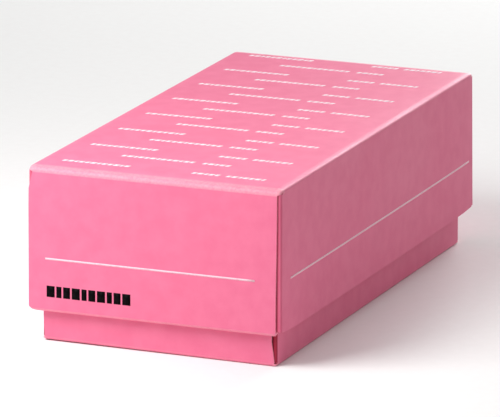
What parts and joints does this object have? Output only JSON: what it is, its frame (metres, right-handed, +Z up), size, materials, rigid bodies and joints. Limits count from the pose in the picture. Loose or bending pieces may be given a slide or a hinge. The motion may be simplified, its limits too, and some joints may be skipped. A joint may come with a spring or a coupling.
{
  "type": "cryogenic storage box",
  "caption": "Shallow rectangular box of folded coated paperboard with a deep telescoping lid over an open base and a slotted-strip divider that makes a cell for each cryogenic vial.",
  "frame": {"origin": "bottom of the closed box, in the middle of the lid's outline", "axes": "+Z up, +Y along the box's length, +X across its width"},
  "size_m": [0.077, 0.15, 0.051],
  "materials": {
    "pink_board": "satin",
    "divider_board": "matte"
  },
  "bodies": {
    "base": {"base_tray": "pink_board"},
    "lid": {"lid": "pink_board"},
    "divider": {"divider_long_strip_1": "divider_board", "divider_long_strip_2": "divider_board", "divider_long_strip_3": "divider_board", "divider_long_strip_4": "divider_board", "divider_cross_strip_1": "divider_board", "divider_cross_strip_2": "divider_board", "divider_cross_strip_3": "divider_board", "divider_cross_strip_4": "divider_board", "divider_cross_strip_5": "divider_board", "divider_cross_strip_6": "divider_board", "divider_cross_strip_7": "divider_board", "divider_cross_strip_8": "divider_board", "divider_cross_strip_9": "divider_board"}
  },
  "joints": [
    {"name": "lid_lift", "type": "slide", "parent": "base", "child": "lid", "axis": [0, 0, 1], "range_m": [0, 0.06]},
    {"name": "divider_lift", "type": "slide", "parent": "base", "child": "divider", "axis": [0, 0, 1], "range_m": [0, 0.018]}
  ]
}
